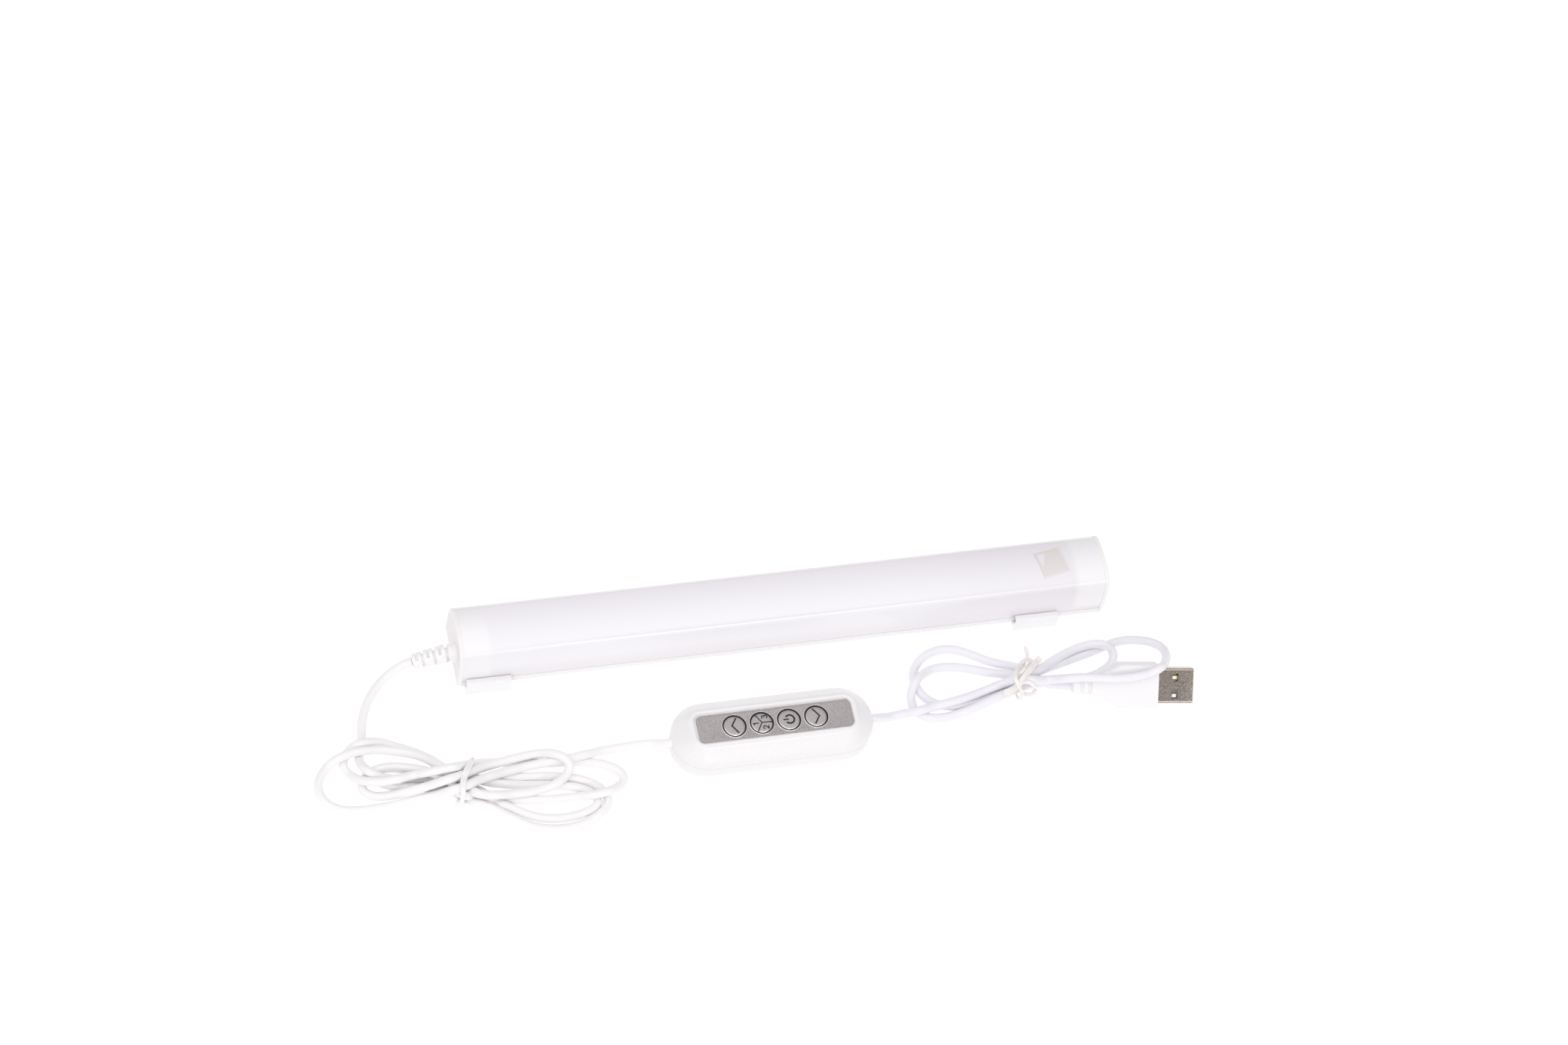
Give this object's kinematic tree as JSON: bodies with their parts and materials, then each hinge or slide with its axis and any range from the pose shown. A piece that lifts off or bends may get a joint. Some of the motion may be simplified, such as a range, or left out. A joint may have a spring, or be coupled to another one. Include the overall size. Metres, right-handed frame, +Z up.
{
  "type": "led light tube",
  "caption": "Slim D-section USB light bar on two sliding clips, with an in-line push-button dimmer, tied white lead and USB-A plug.",
  "frame": {"origin": "centre of the bar's footprint on the table, under the two clips", "axes": "+X along the bar, away from the cable end; +Y away from the dimmer; +Z up, out of the opal cover"},
  "size_m": [0.2996, 0.0829, 0.021],
  "materials": {
    "channel": "white powder coat, satin gloss",
    "opal": "milky opal polycarbonate, soft sheen",
    "end_cap": "warm white moulded ABS",
    "clip": "glossy white moulded ABS",
    "pvc": "soft white PVC, satin",
    "pvc_cool": "soft white PVC, slightly cool, satin",
    "case": "glossy white moulded ABS",
    "label_silver": "fine-grained silver printed film",
    "button_silver": "silver film over a low dome, black print",
    "film": "thin beige clear film",
    "light_board": "white solder mask on an aluminium board",
    "control_board": "green solder mask",
    "thermal_tape": "grey thermal tape",
    "phosphor": "yellow phosphor package",
    "black_resin": "black moulded resin",
    "red_insulation": "red PVC insulation",
    "nickel": "nickel-plated steel, fine grain",
    "gold": "gold-plated contact",
    "tie_white": "white coated twist wire",
    "tie_cream": "cream coated flat twist tie"
  },
  "bodies": {
    "lamp": {"base_channel": "channel", "diffuser": "opal", "end_cap_left": "end_cap", "end_cap_right": "end_cap", "thermal_tape": "thermal_tape", "led_board": "light_board", "led_01": "phosphor", "led_02": "phosphor", "led_03": "phosphor", "led_04": "phosphor", "led_05": "phosphor", "led_06": "phosphor", "led_07": "phosphor", "led_08": "phosphor", "led_09": "phosphor", "led_10": "phosphor", "board_resistor_1": "black_resin", "board_resistor_2": "black_resin", "wire_positive": "red_insulation", "wire_negative": "pvc", "strain_relief": "pvc", "diffuser_film": "film", "controller_lower_shell": "case", "controller_upper_shell": "case", "controller_faceplate": "label_silver", "controller_board": "control_board", "tact_switch_1": "black_resin", "tact_switch_2": "black_resin", "tact_switch_3": "black_resin", "tact_switch_4": "black_resin", "controller_chip": "black_resin", "controller_transistor": "black_resin", "cord_lamp_lead": "pvc", "cord_lamp_hank": "pvc", "cord_lamp_tail": "pvc", "cord_usb_lead": "pvc_cool", "cord_usb_hank": "pvc_cool", "cord_usb_tail": "pvc_cool", "twist_tie_lamp": "tie_white", "twist_tie_usb": "tie_cream", "usb_overmold": "pvc_cool", "usb_shell": "nickel", "usb_insulator": "black_resin", "usb_contact_1": "gold", "usb_contact_2": "gold", "usb_contact_3": "gold", "usb_contact_4": "gold"},
    "clip_left": {"mounting_clip_left": "clip"},
    "clip_right": {"mounting_clip_right": "clip"},
    "button_down": {"button_down": "button_silver"},
    "button_mode": {"button_mode": "button_silver"},
    "button_power": {"button_power": "button_silver"},
    "button_up": {"button_up": "button_silver"}
  },
  "joints": [
    {"name": "clip_left_slide", "type": "slide", "parent": "lamp", "child": "clip_left", "axis": [1, 0, 0], "range_m": [0, 0.085]},
    {"name": "clip_right_slide", "type": "slide", "parent": "lamp", "child": "clip_right", "axis": [1, 0, 0], "range_m": [-0.085, 0.013]},
    {"name": "down_press", "type": "slide", "parent": "lamp", "child": "button_down", "axis": [0, 0, -1], "range_m": [0, 0.0005], "stiffness_N_per_m": 800},
    {"name": "mode_press", "type": "slide", "parent": "lamp", "child": "button_mode", "axis": [0, 0, -1], "range_m": [0, 0.0005], "stiffness_N_per_m": 800},
    {"name": "power_press", "type": "slide", "parent": "lamp", "child": "button_power", "axis": [0, 0, -1], "range_m": [0, 0.0005], "stiffness_N_per_m": 800},
    {"name": "up_press", "type": "slide", "parent": "lamp", "child": "button_up", "axis": [0, 0, -1], "range_m": [0, 0.0005], "stiffness_N_per_m": 800}
  ]
}
